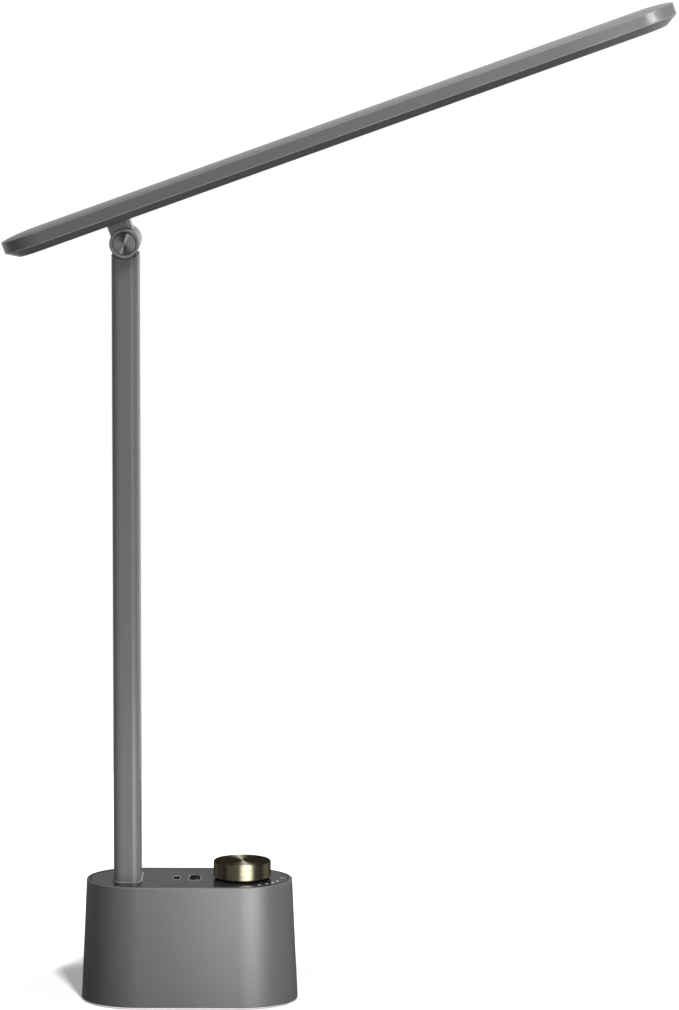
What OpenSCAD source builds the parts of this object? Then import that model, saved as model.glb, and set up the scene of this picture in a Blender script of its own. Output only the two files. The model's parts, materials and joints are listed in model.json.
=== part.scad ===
// Folding desk lamp: a weighted base with two charging ports and a control knob, a post near the
// base's left end, and a long slim light head on a friction hinge.
// Units are millimetres. +Z is up and the base's long side runs along X.
// The origin is the middle of the base, on the desk. The front is at -Y.

/* [Base] */
// Length of the base's top face
base_top_l = 117.8; // [113.4:0.2:150]
// Depth of the base's top face
base_top_d = 58; // [56:0.5:66]
// Height of the base's top face above the desk
base_h = 70; // [66:0.2:90]
// How far each side of the base spreads from the top to the desk
base_draft = 3.2; // [1:0.1:6]
// Wall of the moulded base shell
base_wall = 2.4; // [2:0.1:2.8]
// Rounding of the base's top edge
base_edge_r = 0.8; // [0.4:0.1:1.2]
// Width of the shell's rim around the top plate
rim_w = 1.75; // [1.5:0.05:2.5]
// Thickness of the deck under the top plate
deck_t = 2.4; // [2:0.1:4]
// Thickness of the glossy top plate
plate_t = 2; // [1.6:0.1:3]
// Thickness of the bottom cover
cover_t = 3.6; // [3.2:0.1:4.4]
// Radius of the four screw columns in the base
column_r = 3.6; // [3.2:0.1:4]
// Distance of the screw columns from the base's middle, along its length
column_x = 18; // [16:0.5:22]
// Length of the steel ballast
weight_l = 100; // [80:1:106]
// Depth of the steel ballast
weight_d = 36; // [28:1:37]
// Thickness of the steel ballast
weight_t = 12; // [6:0.5:14]
// Distance from the base's lower edge in to the non-slip pad's edge
pad_inset = 5; // [4:0.5:8]
// How far the non-slip pad stands out below the base
pad_proud = 1; // [0.6:0.1:1.4]
// Depth of the non-slip pad's seat in the bottom cover
pad_seat = 0.5; // [0.3:0.1:0.6]

/* [Ports and board] */
// Place of the small charging port, along the base from its middle
port_c_x = -7.4; // [-8.5:0.1:-6.5]
// Place of the large charging port, along the base from its middle
port_a_x = 3.1; // [2:0.1:4.5]
// How far the port shells sit below the top plate's face
port_recess = 1.35; // [0.8:0.05:2]
// Height of the port shells above the circuit board
port_h = 13.8; // [12:0.1:16]
// Width of the large port's shell
port_a_w = 5.7; // [5.6:0.05:5.9]
// Length of the large port's shell
port_a_l = 13.1; // [13:0.05:13.3]
// Width of the small port's shell
port_c_w = 3.26; // [3.2:0.02:3.4]
// Length of the small port's shell
port_c_l = 8.94; // [8.9:0.02:9.1]
// Sheet thickness of the port shells
port_wall = 0.3; // [0.25:0.05:0.35]
// Gap between a port's shell and the top plate's cut-out
port_gap = 0.35; // [0.2:0.05:0.5]
// Thickness of the circuit board
board_t = 1.6; // [1.2:0.2:2]
// Depth of the circuit board
board_d = 34; // [30:1:36]

/* [Knob] */
// Distance of the knob's axis from the right end of the base's top face
knob_inset = 28.7; // [26.7:0.1:32]
// Radius of the knob
knob_r = 16.4; // [13:0.2:20]
// Height of the knob's side
knob_h = 9.4; // [7:0.2:12]
// Gap between the knob and the top plate
knob_lift = 1; // [0.9:0.1:2]
// Bright chamfer round the knob's top and bottom edges
knob_chamfer = 0.5; // [0.2:0.1:0.8]
// Wall of the knob's spun cap
knob_wall = 1.4; // [1:0.1:2]
// Radius of the encoder's shaft
shaft_r = 3; // [2.5:0.1:3]
// Distance the knob can be pressed down
press_travel = 0.5; // [0.3:0.1:0.6]
// Side of the encoder's square body
encoder_w = 13; // [12.5:0.1:14]
// Height of the encoder's body
encoder_h = 6.6; // [6.2:0.1:7]

/* [Power inlet] */
// Height of the power inlet's axis above the desk
inlet_z = 26; // [25:0.5:34]
// Radius of the inlet's threaded barrel
inlet_r = 4; // [3.8:0.1:4.4]
// Radius of the plug's socket in the inlet
inlet_bore_r = 2.75; // [2.6:0.05:2.9]
// Radius of the inlet's centre pin
inlet_pin_r = 1.05; // [0.9:0.05:1.2]

/* [Post] */
// Distance of the post's axis from the left end of the base's top face
post_inset = 23.6; // [23.2:0.1:24.7]
// Width of the post
post_w = 15.2; // [14:0.2:16]
// Depth of the post
post_d = 30; // [28:0.5:32]
// Radius of the post's upright corners
post_r = 4.75; // [3:0.25:5]
// Wall of the post's tube
post_wall = 1.6; // [1.2:0.1:2]
// Depth of the bracket that holds the post below the deck
socket_depth = 24; // [16:1:28]
// Height of the trim ring at the post's foot
collar_h = 0.5; // [0.4:0.1:1.5]
// Width of the trim ring at the post's foot
collar_w = 0.9; // [0.7:0.1:2]
// Radius of the lead inside the post
cable_r = 1.6; // [1.2:0.1:2]

/* [Hinge] */
// Height of the hinge's axis above the desk
hinge_h = 435.8; // [380:0.2:460]
// Outer radius of the hinge barrel
barrel_r = 8.45; // [8.2:0.05:8.6]
// Length of the hinge barrel
barrel_l = 36; // [33:0.5:40]
// Radius of the hinge pin
pin_r = 3; // [2.5:0.1:3.5]
// Gap between the barrel and the hollow in the post's top
saddle_gap = 0.75; // [0.6:0.05:1]
// Distance from the hinge's axis down to the post's top corners
land_drop = 6.8; // [6.8:0.1:7.4]
// Depth of the middle knuckle, along the hinge
lug_d = 18.8; // [14:0.2:20]
// Width of the block between the hinge and the head
lug_w = 13; // [11:0.2:13]
// Thickness of a friction washer
washer_t = 0.5; // [0.3:0.1:0.8]
// Radius of the spun end caps
cap_r = 6.4; // [6:0.1:6.7]
// Thickness of the spun end caps
cap_t = 1.4; // [1:0.1:2]
// Depth of the hinge yoke's plug inside the post
plug_depth = 26; // [20:1:34]

/* [Head] */
// Angle of the head above level
head_angle = 19.8; // [0:0.1:60]
// Reach of the head from the hinge to its right tip
head_front = 334.6; // [320:0.2:345]
// Length of the head from the hinge to its left tip
head_back = 66.4; // [56:0.2:80]
// Width of the head
head_w = 45; // [45:0.5:50]
// Distance from the hinge's axis to the head's underside
head_drop = 12; // [12:0.1:15]
// Height of the sloping edge under the head's side wall
bevel_h = 4.3; // [3.8:0.05:4.6]
// Width of the sloping edge under the head's side wall
bevel_w = 6.9; // [5:0.1:6.9]
// Height of the head's upright side wall
side_h = 6.5; // [6:0.1:8]
// Rise of the head's crowned top above its side wall
crown_h = 1.5; // [1.2:0.1:3]
// Wall of the head's housing and lower frame
head_wall = 1.6; // [1.4:0.1:1.8]
// Width of the light window
window_w = 26; // [22:0.5:27]
// Distance from the hinge to the light window's left end
window_start = 22; // [20:0.5:60]
// Distance from the light window's right end to the head's right tip
window_margin = 12; // [10:0.5:40]
// Number of light packages along the board
led_columns = 18; // [8:1:24]
// Number of rows of light packages
led_rows = 2; // [1:1:3]

/* [Hidden] */
$fn = 96;

BODY_GREY = [0.42, 0.42, 0.43];
DARK = [0.08, 0.08, 0.09];
BRONZE = [0.52, 0.47, 0.36];
STEEL = [0.7, 0.71, 0.73];
BOARD_GREEN = [0.1, 0.3, 0.2];
OPAL = [0.95, 0.95, 0.92];

fit_gap = 0.1;      // between fixed pieces that drop into one another
run_gap = 0.03;     // radial running clearance of the hinge pin
slide_gap = 0.05;   // radial clearance of the encoder's shaft and plunger
body_gap = 0.3;     // between pieces that move past one another
cut = 1;            // how far a cutter runs past what it cuts

// Screws
screw_r = 1.2;
pilot_r = screw_r;
screw_hole_r = 1.5;
screw_head_r = 2.6;
screw_head_h = 1.6;
column_bite = 8;    // thread of a cover screw in its column
pilot_spare = 4;    // how far a column's hole runs past its screw
socket_bite = 4.5;  // thread of a socket screw in its pad
board_bite = 6;     // thread of a board screw in its boss
lug_bite = 2.2;     // thread of a lug screw in the head

// Levels of the base
shell_z0 = pad_proud;
cover_z1 = shell_z0 + cover_t;
plate_z0 = base_h - plate_t;
deck_z0 = plate_z0 - deck_t;
board_z1 = base_h - port_recess - port_h;
board_z0 = board_z1 - board_t;
weight_z1 = cover_z1 + weight_t;
mat_z1 = shell_z0 + pad_seat;
mat_r = base_side(0) - pad_inset;
cover_seat_z = mat_z1 + screw_head_h;

// Plan of the base
base_c = (base_top_l - base_top_d) / 2;
post_x = -base_top_l / 2 + post_inset;
knob_x = base_top_l / 2 - knob_inset;
plate_r = base_top_d / 2 - rim_w;
column_y = base_top_d / 2 - base_wall - column_r + 0.5;

// Post bracket and its pad under the deck
socket_wall = 2.5;
pad_t = 6;
pad_z0 = deck_z0 - pad_t + deck_t;
socket_z0 = pad_z0 - socket_depth;
flange_t = 3;
socket_w = post_w + 2 * socket_wall;
socket_d = post_d + 2 * socket_wall;
flange_reach = 6;
flange_w = socket_w + 2 * flange_reach;
flange_d = 26;
socket_screw_x = socket_w / 2 + screw_head_r + 0.3;
socket_screw_y = flange_d / 2 - 4;

// Circuit board
board_x0 = post_x + flange_w / 2 + 1;
board_reach = 12;    // how far the board runs past the knob's axis
board_x1 = knob_x + board_reach;
boss_r = 2.6;
boss_x = [board_x0 + 4, board_x1 - 4];
boss_y = board_d / 2 - 4;

// Encoder
bushing_r = shaft_r + 0.5;
cavity_r = encoder_w / 2 - 1.1;
cavity_floor = 1.6;
cavity_roof = encoder_h - 0.7;
press_gap = 0.2;
plunger_z0 = board_z1 + cavity_floor + press_travel + press_gap;
plunger_t = 1;
rotor_z1 = board_z1 + cavity_roof - fit_gap;
knob_z0 = base_h + knob_lift;
knob_z1 = knob_z0 + knob_h;
knob_top_t = 2;
hub_t = 1.6;
hub_r = shaft_r + 2.6;
shaft_z1 = knob_z1 - knob_top_t - hub_t;
shaft_flat = shaft_r / 2;

// Post and hinge
post_z1 = hinge_h - land_drop;
saddle_r = barrel_r + saddle_gap;
washer_gap = 0.05;
knuckle_y = lug_d / 2 + washer_t + 2 * washer_gap;
knuckle_l = barrel_l / 2 - knuckle_y;
plug_w = post_w - 2 * post_wall;
plug_d = post_d - 2 * post_wall;
plug_r = post_r - post_wall;
neck_w = 9;
cap_gap = 0.5;
stem_l = 0.8;
pin_l = barrel_l - 2 * cap_t - 2 * stem_l;
cable_tail = 6;     // how far the lead hangs out below the post's bracket
cable_lead = 10;    // how far the lead runs up into the hinge yoke

// Head, in its own frame: X along the head, Z away from the hinge
head_r = head_w / 2;
head_x = (head_front - head_back) / 2;
head_c = (head_front + head_back) / 2 - head_r;
side_z0 = head_drop + bevel_h;
side_z1 = side_z0 + side_h;
inner_r = head_r - head_wall;
lip_h = 2;
lip_t = 1.4;
foot_w = 2 * barrel_r + 0.2;
flange_z0 = side_z0 + 0.5;
flange_z1 = flange_z0 + 2.5;
lug_flange_w = 30;
lug_flange_d = 32;
lug_screw_x = 11.5;
lug_screw_y = 12;

// Light window and what lies behind it
window_r = window_w / 2;
window_x1 = head_front - window_margin;
window_x = (window_start + window_x1) / 2;
window_c = (window_x1 - window_start) / 2 - window_r;
lens_lip = 1.4;
lens_z1 = head_drop + head_wall + 0.8;
led_t = 0.7;
led_w = 2.8;
led_l = 3.5;
led_board_t = 1.2;
led_board_z0 = lens_z1 + 3.4;
led_board_z1 = led_board_z0 + led_board_t;
rib_count = 6;
rib_t = 1.6;

// ---- Plane shapes ----

// Rectangle with round corners, centred
module round_rect(x, y, r) {
    square([x - 2 * r, y], center = true);
    square([x, y - 2 * r], center = true);
    for (sx = [-1, 1], sy = [-1, 1])
        translate([sx * (x / 2 - r), sy * (y / 2 - r)])
            circle(r);
}

// Half-profile (radius, height) of the base's outside, drawn in by inset
module base_profile(inset, z0, z1) {
    polygon([[0, z0], [base_side(z0) - inset, z0], [base_side(z1) - inset, z1], [0, z1]]);
}

// Half-depth of the base's outside at height z
function base_side(z) = base_top_d / 2 + base_draft * (base_h - z) / base_h;

// Half-profile of the base's outside with its rounded top edge
module base_profile_rounded() {
    r = base_edge_r;
    corner = base_side(base_h - r) - r;
    difference() {
        base_profile(0, shell_z0, base_h);
        translate([corner, base_h - r])
            square(r + cut);
    }
    translate([corner, base_h - r])
        circle(r);
}

// Height of the head's crown above its side wall at radius r
function crown(r, edge) = crown_h * (1 - pow(r / edge, 4));

// Half-profile under the crown: lid height z at the edge, out to radius edge
module crown_profile(edge, z0, z1) {
    steps = 12;
    polygon(concat(
        [[0, z0], [edge, z0]],
        [for (i = [steps:-1:0]) let (r = edge * sin(90 * i / steps)) [r, z1 + crown(r, edge)]]));
}

// ---- Solids ----

// Sweeps a half-profile round a stadium whose end centres are c from the middle
module stadium_sweep(c) {
    for (side = [0, 1])
        mirror([side, 0, 0])
            translate([c, 0, 0])
                rotate([0, 0, -90])
                    rotate_extrude(angle = 180)
                        children();
    rotate([90, 0, 90])
        linear_extrude(2 * c, center = true) {
            children();
            mirror([1, 0, 0])
                children();
        }
}

// Flat stadium slab
module stadium_slab(c, r, z0, z1) {
    stadium_sweep(c)
        translate([0, z0])
            square([r, z1 - z0]);
}

// Upright prism with round corners, centred on the Z axis
module round_bar(x, y, r, z0, z1) {
    translate([0, 0, z0])
        linear_extrude(z1 - z0)
            round_rect(x, y, r);
}

module disc(r, z0, z1) {
    translate([0, 0, z0])
        cylinder(r = r, h = z1 - z0);
}

// Cylinder along Y
module rod_y(r, y0, y1) {
    translate([0, y0, 0])
        rotate([-90, 0, 0])
            cylinder(r = r, h = y1 - y0);
}

// Screw with its head's seat at Z = 0, head below and shank above
module screw(shank) {
    disc(screw_head_r, -screw_head_h, 0);
    disc(screw_r, 0, shank);
}

module at_columns() {
    for (sx = [-1, 1], sy = [-1, 1])
        translate([sx * column_x, sy * column_y, 0])
            children();
}

module at_bosses() {
    for (x = boss_x, sy = [-1, 1])
        translate([x, sy * boss_y, 0])
            children();
}

module at_socket_screws() {
    for (sx = [-1, 1], sy = [-1, 1])
        translate([post_x + sx * socket_screw_x, sy * socket_screw_y, 0])
            children();
}

module at_weight_screws() {
    for (sx = [-1, 1])
        translate([sx * weight_l / 4, 0, 0])
            children();
}

// The head's own frame, seated on the hinge's axis and tilted
module in_head() {
    translate([post_x, 0, hinge_h])
        rotate([0, -head_angle, 0])
            children();
}

module at_lug_screws() {
    for (sx = [-1, 1], sy = [-1, 1])
        translate([sx * lug_screw_x, sy * lug_screw_y, 0])
            children();
}

// Openings that pass up through the deck and the top plate, widened by gap
module port_openings(gap, z0, z1) {
    translate([port_a_x, 0, 0])
        round_bar(port_a_w + 2 * gap, port_a_l + 2 * gap, 0.6, z0, z1);
    translate([port_c_x, 0, 0])
        round_bar(port_c_w + 2 * gap, port_c_l + 2 * gap, port_c_w / 2 + gap - 0.01, z0, z1);
}

module post_opening(gap, z0, z1) {
    translate([post_x, 0, 0])
        round_bar(post_w + 2 * gap, post_d + 2 * gap, post_r + gap, z0, z1);
}

// ---- Base ----

// Column with its rib to the shell's wall
module screw_column() {
    disc(column_r, cover_z1, deck_z0 + 0.5);
}

module column_rib(x, side) {
    rib = 2;
    z1 = deck_z0 + 0.5;
    translate([x - rib / 2, 0, 0])
        mirror([0, side < 0 ? 1 : 0, 0])
            rotate([90, 0, 90])
                linear_extrude(rib)
                    polygon([[column_y, cover_z1],
                             [base_side(cover_z1) - base_wall / 2, cover_z1],
                             [base_side(z1) - base_wall / 2, z1],
                             [column_y, z1]]);
}

inlet_face_y = base_side(inlet_z) - 0.6;
inlet_flange_r = inlet_r + 2;
inlet_flange_t = 1.2;
inlet_seat_y = inlet_face_y - inlet_flange_t;
inlet_boss_r = inlet_r + 3;
inlet_boss_y = inlet_seat_y - 5;
inlet_nut_t = 2.2;
inlet_floor_y = inlet_face_y - 9.5;
inlet_root_r = inlet_pin_r + 0.35;
inlet_root = 4;
inlet_back = 6;

module base_shell() {
    color(BODY_GREY)
        difference() {
            union() {
                difference() {
                    stadium_sweep(base_c)
                        base_profile_rounded();
                    stadium_sweep(base_c)
                        base_profile(base_wall, shell_z0 - cut, deck_z0);
                }
                at_columns()
                    screw_column();
                for (sx = [-1, 1], sy = [-1, 1])
                    column_rib(sx * column_x, sy);
                at_bosses()
                    disc(boss_r, board_z1, deck_z0 + 0.5);
                translate([post_x, 0, 0])
                    round_bar(flange_w, flange_d, post_r, pad_z0, deck_z0 + 0.5);
                translate([post_x, 0, 0])
                    round_bar(socket_w, socket_d, post_r, pad_z0, deck_z0 + 0.5);
                translate([0, 0, inlet_z])
                    rod_y(inlet_boss_r, inlet_boss_y, base_side(inlet_z + inlet_boss_r) - 0.3);
            }
            stadium_slab(base_c, plate_r, plate_z0, base_h + cut);
            port_openings(port_gap + 0.4, deck_z0 - cut, base_h);
            translate([knob_x, 0, 0])
                disc(bushing_r + 0.4, deck_z0 - cut, base_h);
            post_opening(fit_gap, pad_z0 - cut, base_h);
            at_columns()
                disc(pilot_r, cover_z1 - cut, cover_z1 + column_bite + pilot_spare);
            at_bosses()
                disc(pilot_r, board_z1 - cut, board_z1 + board_bite + 1);
            at_socket_screws()
                disc(pilot_r, pad_z0 - cut, pad_z0 + socket_bite + 0.5);
            translate([0, 0, inlet_z]) {
                rod_y(inlet_r + fit_gap, inlet_boss_y - cut, base_side(0) + cut);
                rod_y(inlet_flange_r + fit_gap, inlet_seat_y, base_side(0) + cut);
            }
        }
}

module top_plate() {
    color(DARK)
        difference() {
            stadium_slab(base_c, plate_r - fit_gap, plate_z0, base_h);
            port_openings(port_gap, plate_z0 - cut, base_h + cut);
            translate([knob_x, 0, 0])
                disc(bushing_r + 0.2, plate_z0 - cut, base_h + cut);
            post_opening(fit_gap, plate_z0 - cut, base_h + cut);
        }
}

// Hole for a screw's shank with a seat that sinks its head above the pad
module screw_seat() {
    disc(screw_hole_r, shell_z0 - cut, cover_z1 + cut);
    disc(screw_head_r + 0.4, shell_z0 - cut, cover_seat_z);
}

module bottom_cover() {
    color(DARK)
        difference() {
            stadium_sweep(base_c)
                base_profile(base_wall + fit_gap, shell_z0, cover_z1);
            at_columns()
                screw_seat();
            at_weight_screws()
                screw_seat();
            stadium_slab(base_c, mat_r + fit_gap, shell_z0 - cut, mat_z1);
        }
}

module cover_screws() {
    color(STEEL)
        at_columns()
            translate([0, 0, cover_seat_z])
                screw(cover_z1 - cover_seat_z + column_bite);
}

module base_pad() {
    color(DARK)
        stadium_slab(base_c, mat_r, 0, mat_z1);
}

module base_weight() {
    color(STEEL)
        difference() {
            stadium_slab((weight_l - weight_d) / 2, weight_d / 2, cover_z1, weight_z1);
            at_weight_screws()
                disc(screw_r, cover_z1 - cut, weight_z1 + cut);
        }
}

module weight_screws() {
    color(STEEL)
        at_weight_screws()
            translate([0, 0, cover_seat_z])
                screw(weight_z1 - cover_seat_z - 1);
}

// ---- Electronics ----

module main_board() {
    color(BOARD_GREEN)
        difference() {
            translate([(board_x0 + board_x1) / 2, 0, 0])
                round_bar(board_x1 - board_x0, board_d, 1.5, board_z0, board_z1);
            at_bosses()
                disc(screw_hole_r, board_z0 - cut, board_z1 + cut);
        }
}

module board_screws() {
    color(STEEL)
        at_bosses()
            translate([0, 0, board_z0])
                screw(board_t + board_bite);
}

module usb_a_shell() {
    z1 = base_h - port_recess;
    color(STEEL)
        translate([port_a_x, 0, 0])
            difference() {
                round_bar(port_a_w, port_a_l, 0.5, board_z1, z1);
                round_bar(port_a_w - 2 * port_wall, port_a_l - 2 * port_wall, 0.3,
                          board_z1 - cut, z1 + cut);
            }
}

// Insulator block filling the foot of the shell, with the contact tongue standing on it
module usb_a_tongue() {
    tongue_w = 1.84;
    tongue_l = 11.1;
    block_h = 4;
    tongue_shift = 0.95;
    color(OPAL)
        translate([port_a_x, 0, 0]) {
            round_bar(port_a_w - 2 * port_wall, port_a_l - 2 * port_wall, 0.3,
                      board_z1, board_z1 + block_h);
            translate([tongue_shift, 0, 0])
                round_bar(tongue_w, tongue_l, 0.3,
                          board_z1 + block_h - 0.5, base_h - port_recess - 0.8);
        }
}

module usb_c_shell() {
    z1 = base_h - port_recess;
    color(STEEL)
        translate([port_c_x, 0, 0])
            difference() {
                round_bar(port_c_w, port_c_l, port_c_w / 2 - 0.01, board_z1, z1);
                round_bar(port_c_w - 2 * port_wall, port_c_l - 2 * port_wall,
                          port_c_w / 2 - port_wall - 0.01, board_z1 - cut, z1 + cut);
            }
}

module usb_c_tongue() {
    tongue_w = 0.7;
    tongue_l = 6.69;
    block_h = 6;
    color(DARK)
        translate([port_c_x, 0, 0]) {
            round_bar(port_c_w - 2 * port_wall, port_c_l - 2 * port_wall,
                      port_c_w / 2 - port_wall - 0.01, board_z1, board_z1 + block_h);
            round_bar(tongue_w, tongue_l, 0.3,
                      board_z1 + block_h - 0.5, base_h - port_recess - 0.6);
        }
}

module encoder_body() {
    color(STEEL)
        translate([knob_x, 0, 0])
            difference() {
                union() {
                    round_bar(encoder_w, encoder_w, 0.8, board_z1, board_z1 + encoder_h);
                    disc(bushing_r, board_z1 + encoder_h - 0.5, base_h);
                }
                disc(cavity_r, board_z1 + cavity_floor, board_z1 + cavity_roof);
                disc(shaft_r + slide_gap, board_z1 + cavity_roof - 0.5, base_h + cut);
                disc(1.2 + slide_gap, board_z1 - cut, board_z1 + cavity_floor + cut);
            }
}

module encoder_plunger() {
    color(DARK)
        translate([knob_x, 0, 0]) {
            disc(cavity_r - body_gap, plunger_z0, plunger_z0 + plunger_t);
            disc(1.2, board_z1 + press_gap + press_travel, plunger_z0 + 0.5);
        }
}

// D-shaped section that the hub's bore shares
module shaft_section() {
    difference() {
        circle(shaft_r);
        translate([shaft_flat, -shaft_r])
            square(2 * shaft_r);
    }
}

module encoder_shaft() {
    flat_z0 = base_h + 0.2;
    color(STEEL)
        translate([knob_x, 0, 0]) {
            disc(cavity_r - body_gap, plunger_z0 + plunger_t, rotor_z1);
            disc(shaft_r, rotor_z1 - 0.5, flat_z0);
            translate([0, 0, flat_z0 - 0.1])
                linear_extrude(shaft_z1 - flat_z0 + 0.1)
                    shaft_section();
        }
}

module knob_hub() {
    hub_z1 = knob_z1 - knob_top_t;
    hub_z0 = base_h + press_travel + 0.5;
    color(DARK)
        translate([knob_x, 0, 0])
            difference() {
                union() {
                    disc(hub_r, hub_z0, hub_z1);
                    disc(knob_r - knob_wall, hub_z1 - hub_t, hub_z1);
                }
                translate([0, 0, hub_z0 - cut])
                    linear_extrude(shaft_z1 - hub_z0 + cut)
                        shaft_section();
            }
}

module knob() {
    c = knob_chamfer;
    color(BRONZE)
        translate([knob_x, 0, 0])
            difference() {
                rotate_extrude()
                    polygon([[0, knob_z0], [knob_r - c, knob_z0], [knob_r, knob_z0 + c],
                             [knob_r, knob_z1 - c], [knob_r - c, knob_z1], [0, knob_z1]]);
                disc(knob_r - knob_wall, knob_z0 - cut, knob_z1 - knob_top_t);
            }
}

// ---- Power inlet ----

module dc_inlet() {
    color(DARK)
        translate([0, 0, inlet_z])
            difference() {
                union() {
                    rod_y(inlet_r, inlet_boss_y - inlet_nut_t - inlet_back, inlet_face_y);
                    rod_y(inlet_flange_r, inlet_seat_y, inlet_face_y);
                }
                rod_y(inlet_bore_r, inlet_floor_y, inlet_face_y + cut);
                rod_y(inlet_root_r, inlet_floor_y - inlet_root, inlet_floor_y + cut);
            }
}

// Contact pin on a thicker root that fills its seat in the inlet
module dc_pin() {
    color(STEEL)
        translate([0, 0, inlet_z]) {
            rod_y(inlet_root_r, inlet_floor_y - inlet_root, inlet_floor_y);
            rod_y(inlet_pin_r, inlet_floor_y - 1, inlet_face_y - 1);
        }
}

module inlet_nut() {
    color(STEEL)
        translate([0, inlet_boss_y - inlet_nut_t, inlet_z])
            rotate([-90, 0, 0])
                linear_extrude(inlet_nut_t)
                    difference() {
                        circle(r = inlet_boss_r + 0.6, $fn = 6);
                        circle(inlet_r);
                    }
}

// ---- Post ----

module post_socket() {
    color(STEEL)
        translate([post_x, 0, 0])
            difference() {
                union() {
                    round_bar(socket_w, socket_d, post_r + 1, socket_z0, pad_z0);
                    round_bar(flange_w, flange_d, post_r, pad_z0 - flange_t, pad_z0);
                }
                round_bar(post_w, post_d, post_r, socket_z0 + socket_wall, pad_z0 + cut);
                disc(cable_r, socket_z0 - cut, socket_z0 + socket_wall + cut);
                for (sx = [-1, 1], sy = [-1, 1])
                    translate([sx * socket_screw_x, sy * socket_screw_y, 0])
                        disc(screw_hole_r, pad_z0 - flange_t - cut, pad_z0 + cut);
            }
}

module socket_screws() {
    color(STEEL)
        at_socket_screws()
            translate([0, 0, pad_z0 - flange_t])
                screw(flange_t + socket_bite);
}

module post_collar() {
    color(DARK)
        translate([post_x, 0, 0])
            difference() {
                round_bar(post_w + 2 * collar_w, post_d + 2 * collar_w, post_r + collar_w,
                          base_h, base_h + collar_h);
                round_bar(post_w + 2 * fit_gap, post_d + 2 * fit_gap, post_r + fit_gap,
                          base_h - cut, base_h + collar_h + cut);
            }
}

module saddle_cut() {
    translate([0, 0, hinge_h])
        rod_y(saddle_r, -post_d, post_d);
}

module post_tube() {
    color(BODY_GREY)
        translate([post_x, 0, 0])
            difference() {
                round_bar(post_w, post_d, post_r, socket_z0 + socket_wall, post_z1);
                round_bar(plug_w, plug_d, plug_r, socket_z0 + socket_wall - cut, post_z1 + cut);
                saddle_cut();
            }
}

module arm_cable() {
    color(DARK)
        translate([post_x, 0, 0])
            disc(cable_r, socket_z0 - cable_tail, post_z1 - plug_depth + cable_lead);
}

// ---- Hinge ----

// One knuckle's ring with its edges chamfered, from y0 outward
module knuckle() {
    c = 0.55;
    translate([0, knuckle_y, 0])
        rotate([-90, 0, 0])
            rotate_extrude()
                polygon([[pin_r, 0], [barrel_r, 0], [barrel_r, knuckle_l - c],
                         [barrel_r - c, knuckle_l], [cap_r + cap_gap, knuckle_l],
                         [cap_r + cap_gap, knuckle_l - cap_t], [pin_r, knuckle_l - cap_t]]);
}

// Web that ties a knuckle down to the plug, within the post's bore
module neck() {
    difference() {
        intersection() {
            round_bar(plug_w, plug_d, plug_r, hinge_h - saddle_r - 2, hinge_h);
            translate([-neck_w / 2, knuckle_y, 0])
                cube([neck_w, plug_d, hinge_h + cut]);
        }
        translate([0, 0, hinge_h])
            rod_y(barrel_r - 0.5, 0, post_d);
    }
}

module hinge_yoke() {
    color(BODY_GREY)
        translate([post_x, 0, 0])
            difference() {
                union() {
                    difference() {
                        round_bar(plug_w, plug_d, plug_r, post_z1 - plug_depth, post_z1);
                        saddle_cut();
                    }
                    for (side = [0, 1])
                        mirror([0, side, 0]) {
                            translate([0, 0, hinge_h])
                                knuckle();
                            neck();
                        }
                }
                disc(cable_r, post_z1 - plug_depth - cut, post_z1 - plug_depth + cable_lead);
            }
}

module hinge_pin() {
    color(STEEL)
        translate([post_x, 0, hinge_h])
            rod_y(pin_r, -pin_l / 2, pin_l / 2);
}

module hinge_caps() {
    color(STEEL)
        translate([post_x, 0, hinge_h])
            for (side = [0, 1])
                mirror([0, side, 0]) {
                    rod_y(cap_r, barrel_l / 2 - cap_t, barrel_l / 2);
                    rod_y(pin_r, barrel_l / 2 - cap_t - stem_l, barrel_l / 2 - cap_t + 0.5);
                }
}

module friction_washers() {
    color(STEEL)
        translate([post_x, 0, hinge_h])
            for (side = [0, 1])
                mirror([0, side, 0])
                    difference() {
                        rod_y(barrel_r - 0.6, lug_d / 2 + washer_gap, lug_d / 2 + washer_gap + washer_t);
                        rod_y(pin_r + run_gap, 0, barrel_l);
                    }
}

module head_lug() {
    color(BODY_GREY)
        in_head()
            difference() {
                union() {
                    rod_y(barrel_r, -lug_d / 2, lug_d / 2);
                    round_bar(lug_w, lug_d, 1.5, 0, head_drop + 0.5);
                    round_bar(foot_w, lug_d, 1.5, head_drop, flange_z0 + 0.5);
                    round_bar(lug_flange_w, lug_flange_d, 3, flange_z0, flange_z1);
                }
                rod_y(pin_r + run_gap, -lug_d, lug_d);
                at_lug_screws()
                    disc(screw_hole_r, flange_z0 - cut, flange_z1 + cut);
            }
}

module lug_screws() {
    color(STEEL)
        in_head()
            at_lug_screws()
                translate([0, 0, flange_z0])
                    screw(flange_z1 - flange_z0 + lug_bite);
}

// ---- Head ----

module head_housing() {
    boss_top = side_z1 - head_wall + crown_h + 0.4;
    color(BODY_GREY)
        in_head()
            difference() {
                union() {
                    translate([head_x, 0, 0])
                        difference() {
                            stadium_sweep(head_c)
                                crown_profile(head_r, side_z0, side_z1);
                            stadium_sweep(head_c)
                                crown_profile(inner_r, side_z0 - cut, side_z1 - head_wall);
                        }
                    at_lug_screws()
                        disc(3, flange_z1, boss_top);
                    for (i = [0:rib_count - 1])
                        translate([window_x - window_c + 2 * window_c * i / (rib_count - 1), 0, 0])
                            translate([-rib_t / 2, -window_r, led_board_z1])
                                cube([rib_t, 2 * window_r, boss_top - led_board_z1]);
                }
                at_lug_screws()
                    disc(pilot_r, flange_z1 - cut, flange_z1 + lug_bite + 0.4);
            }
}

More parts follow.
